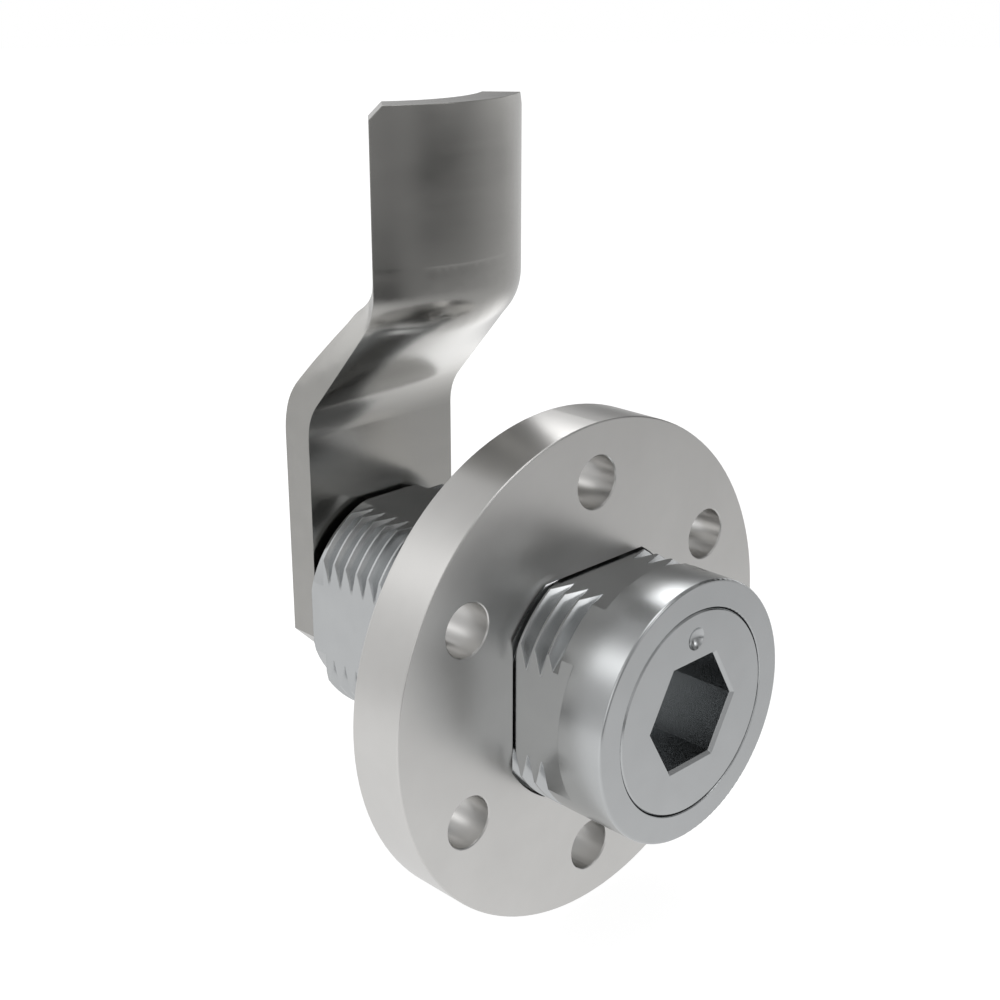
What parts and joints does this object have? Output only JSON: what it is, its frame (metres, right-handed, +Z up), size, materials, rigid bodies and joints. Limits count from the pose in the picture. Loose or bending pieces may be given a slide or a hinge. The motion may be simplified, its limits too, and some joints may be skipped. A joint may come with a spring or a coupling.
{
  "type": "compression latch",
  "caption": "Quarter-turn compression latch: flatted threaded barrel in a round screw flange, hexagon drive, cranked cam that swings and then draws in.",
  "frame": {"origin": "centre of the mounting flange's front face, on the latch axis", "axes": "+Y along the latch axis from the door's outside to its inside, +Z up, +X to the right seen from the front"},
  "size_m": [0.05, 0.0519, 0.0773],
  "materials": {
    "barrel_steel": "satin turned and milled stainless steel",
    "flange_steel": "fine satin stainless steel",
    "cam_steel": "rolled and pressed stainless steel plate",
    "nut_steel": "bright machined stainless steel",
    "spring_steel": "dark oiled spring steel",
    "bush_bronze": "sintered bronze",
    "seal_rubber": "black nitrile rubber",
    "glide_nylon": "natural nylon"
  },
  "bodies": {
    "barrel": {"housing": "barrel_steel", "flange": "flange_steel", "toothed_washer": "nut_steel", "lock_nut": "nut_steel", "glide_washer": "glide_nylon", "stop_pin": "spring_steel", "rear_bush": "bush_bronze", "shaft_seal": "seal_rubber", "circlip": "spring_steel"},
    "guide": {"guide_sleeve": "barrel_steel", "detent_balls": "spring_steel", "detent_springs": "spring_steel"},
    "drive": {"drive": "barrel_steel", "drive_seal": "seal_rubber", "drive_keeper": "spring_steel"},
    "spindle": {"spindle": "barrel_steel", "cross_pin": "spring_steel", "cam": "cam_steel", "cam_washer": "nut_steel", "spring_washer": "nut_steel", "cam_bolt": "nut_steel"}
  },
  "joints": [
    {"name": "cam_swing", "type": "hinge", "parent": "barrel", "child": "guide", "pos_m": [0, 0, 0], "axis": [0, -1, 0], "range_deg": [0, 90]},
    {"name": "drive_turn", "type": "hinge", "parent": "guide", "child": "drive", "pos_m": [0, 0, 0], "axis": [0, -1, 0], "range_deg": [0, 90]},
    {"name": "cam_draw", "type": "slide", "parent": "guide", "child": "spindle", "axis": [0, 1, 0], "range_m": [0, 0.006]}
  ],
  "couplings": [
    {"joint": "drive_turn", "follows": "cam_draw", "rad_per_m": 261.79}
  ]
}
